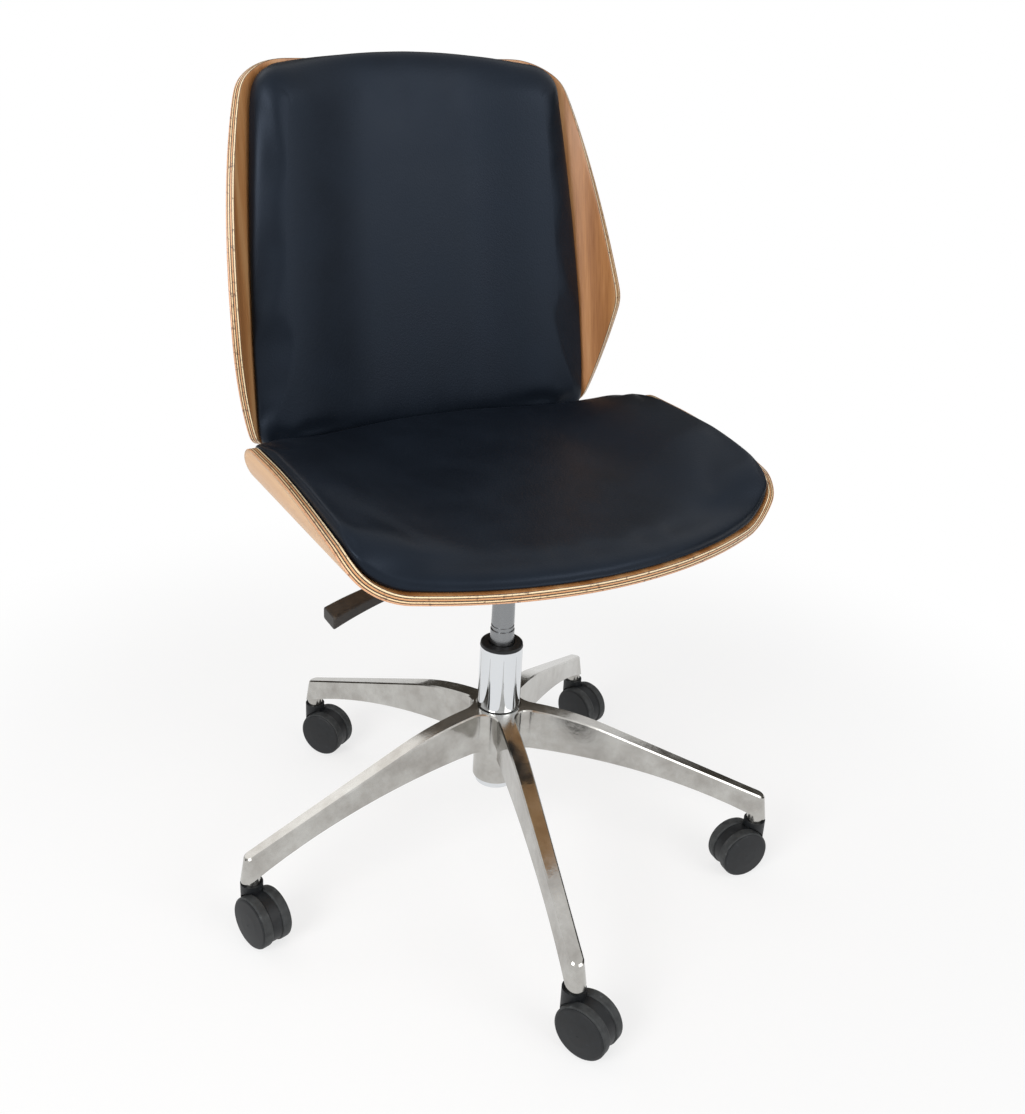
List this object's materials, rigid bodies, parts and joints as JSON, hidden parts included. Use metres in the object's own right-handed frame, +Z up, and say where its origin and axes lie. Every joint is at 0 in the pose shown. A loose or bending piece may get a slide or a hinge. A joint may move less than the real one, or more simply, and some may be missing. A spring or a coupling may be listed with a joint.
{
  "type": "swivel office chair",
  "caption": "Armless swivel office chair with padded bent-ply seat and back shells, a height lever on a gas lift, and a polished star base on casters.",
  "frame": {"origin": "on the floor under the column's axis", "axes": "+Z up along the column, -Y the way the sitter faces, +X to the sitter's left"},
  "size_m": [0.6175, 0.6704, 0.9158],
  "materials": {
    "polished_aluminium": "polished die casting",
    "chrome_tube": "bright chrome plating",
    "ground_steel": "ground and lightly oiled",
    "black_steel": "black powder coat",
    "walnut_ply": "satin lacquered veneer with bare ply edges",
    "navy_leatherette": "fine-grained, soft sheen",
    "black_nylon": "moulded, fine spark texture",
    "grey_tread": "soft matte tread",
    "black_elastomer": "moulded"
  },
  "bodies": {
    "base": {"star_base": "polished_aluminium", "caster_stems": "ground_steel", "column_tube": "chrome_tube", "guide_bush": "black_nylon", "lower_race": "ground_steel", "thrust_balls": "ground_steel"},
    "piston_rod": {"piston_rod": "ground_steel", "upper_race": "ground_steel", "rod_clip": "ground_steel", "bump_stop": "black_elastomer", "piston": "ground_steel"},
    "seat": {"gas_cylinder": "chrome_tube", "cylinder_gland": "ground_steel", "taper_socket": "black_steel", "seat_plate": "black_steel", "lever_bracket": "black_steel", "lever_pin": "ground_steel", "seat_bolts": "black_steel", "seat_inserts": "ground_steel", "seat_shell": "walnut_ply", "seat_pad": "navy_leatherette", "back_bracket": "black_steel", "bracket_bolts": "black_steel", "back_bolts": "black_steel", "back_inserts": "ground_steel", "back_shell": "walnut_ply", "back_pad": "navy_leatherette"},
    "lever": {"lever_rod": "black_steel", "lever_handle": "black_nylon"},
    "valve": {"valve_pin": "ground_steel"},
    "caster_1": {"caster_hood_1": "black_nylon", "caster_axle_1": "ground_steel"},
    "wheel_1_left": {"caster_wheel_1_left": "black_nylon", "caster_tyre_1_left": "grey_tread"},
    "wheel_1_right": {"caster_wheel_1_right": "black_nylon", "caster_tyre_1_right": "grey_tread"},
    "caster_2": {"caster_hood_2": "black_nylon", "caster_axle_2": "ground_steel"},
    "wheel_2_left": {"caster_wheel_2_left": "black_nylon", "caster_tyre_2_left": "grey_tread"},
    "wheel_2_right": {"caster_wheel_2_right": "black_nylon", "caster_tyre_2_right": "grey_tread"},
    "caster_3": {"caster_hood_3": "black_nylon", "caster_axle_3": "ground_steel"},
    "wheel_3_left": {"caster_wheel_3_left": "black_nylon", "caster_tyre_3_left": "grey_tread"},
    "wheel_3_right": {"caster_wheel_3_right": "black_nylon", "caster_tyre_3_right": "grey_tread"},
    "caster_4": {"caster_hood_4": "black_nylon", "caster_axle_4": "ground_steel"},
    "wheel_4_left": {"caster_wheel_4_left": "black_nylon", "caster_tyre_4_left": "grey_tread"},
    "wheel_4_right": {"caster_wheel_4_right": "black_nylon", "caster_tyre_4_right": "grey_tread"},
    "caster_5": {"caster_hood_5": "black_nylon", "caster_axle_5": "ground_steel"},
    "wheel_5_left": {"caster_wheel_5_left": "black_nylon", "caster_tyre_5_left": "grey_tread"},
    "wheel_5_right": {"caster_wheel_5_right": "black_nylon", "caster_tyre_5_right": "grey_tread"}
  },
  "joints": [
    {"name": "seat_swivel", "type": "hinge", "parent": "base", "child": "piston_rod", "pos_m": [0, 0, 0.1], "axis": [0, 0, 1], "continuous": true},
    {"name": "seat_height", "type": "slide", "parent": "piston_rod", "child": "seat", "axis": [0, 0, 1], "range_m": [-0.015, 0.085]},
    {"name": "height_lever", "type": "hinge", "parent": "seat", "child": "lever", "pos_m": [-0.03276, -0.00909, 0.4059], "axis": [-0.2672, 0.9636, 0], "range_deg": [0, 6.5], "stiffness_Nm_per_rad": 2, "springref_deg": -2.86},
    {"name": "valve_press", "type": "slide", "parent": "seat", "child": "valve", "axis": [0, 0, -1], "range_m": [0, 0.0039]},
    {"name": "caster_1_swivel", "type": "hinge", "parent": "base", "child": "caster_1", "pos_m": [-0.31589, -0.02264, 0.06], "axis": [0, 0, 1], "continuous": true},
    {"name": "wheel_1_left_roll", "type": "hinge", "parent": "caster_1", "child": "wheel_1_left", "pos_m": [-0.31031, -0.04185, 0.03], "axis": [0.9603, 0.279, 0], "continuous": true},
    {"name": "wheel_1_right_roll", "type": "hinge", "parent": "caster_1", "child": "wheel_1_right", "pos_m": [-0.31031, -0.04185, 0.03], "axis": [0.9603, 0.279, 0], "continuous": true},
    {"name": "caster_2_swivel", "type": "hinge", "parent": "base", "child": "caster_2", "pos_m": [-0.07608, -0.30743, 0.06], "axis": [0, 0, 1], "continuous": true},
    {"name": "wheel_2_left_roll", "type": "hinge", "parent": "caster_2", "child": "wheel_2_left", "pos_m": [-0.06766, -0.32557, 0.03], "axis": [0.907, 0.421, 0], "continuous": true},
    {"name": "wheel_2_right_roll", "type": "hinge", "parent": "caster_2", "child": "wheel_2_right", "pos_m": [-0.06766, -0.32557, 0.03], "axis": [0.907, 0.421, 0], "continuous": true},
    {"name": "caster_3_swivel", "type": "hinge", "parent": "base", "child": "caster_3", "pos_m": [0.26887, -0.16736, 0.06], "axis": [0, 0, 1], "continuous": true},
    {"name": "wheel_3_left_roll", "type": "hinge", "parent": "caster_3", "child": "wheel_3_left", "pos_m": [0.24895, -0.16558, 0.03], "axis": [-0.0889, -0.996, 0], "continuous": true},
    {"name": "wheel_3_right_roll", "type": "hinge", "parent": "caster_3", "child": "wheel_3_right", "pos_m": [0.24895, -0.16558, 0.03], "axis": [-0.0889, -0.996, 0], "continuous": true},
    {"name": "caster_4_swivel", "type": "hinge", "parent": "base", "child": "caster_4", "pos_m": [0.24225, 0.20399, 0.06], "axis": [0, 0, 1], "continuous": true},
    {"name": "wheel_4_left_roll", "type": "hinge", "parent": "caster_4", "child": "wheel_4_left", "pos_m": [0.24807, 0.18486, 0.03], "axis": [0.9568, 0.2907, 0], "continuous": true},
    {"name": "wheel_4_right_roll", "type": "hinge", "parent": "caster_4", "child": "wheel_4_right", "pos_m": [0.24807, 0.18486, 0.03], "axis": [0.9568, 0.2907, 0], "continuous": true},
    {"name": "caster_5_swivel", "type": "hinge", "parent": "base", "child": "caster_5", "pos_m": [-0.11915, 0.29343, 0.06], "axis": [0, 0, 1], "continuous": true},
    {"name": "wheel_5_left_roll", "type": "hinge", "parent": "caster_5", "child": "wheel_5_left", "pos_m": [-0.10782, 0.27695, 0.03], "axis": [0.8241, 0.5664, 0], "continuous": true},
    {"name": "wheel_5_right_roll", "type": "hinge", "parent": "caster_5", "child": "wheel_5_right", "pos_m": [-0.10782, 0.27695, 0.03], "axis": [0.8241, 0.5664, 0], "continuous": true}
  ],
  "couplings": [
    {"joint": "valve_press", "follows": "height_lever", "m_per_rad": 0.034}
  ]
}
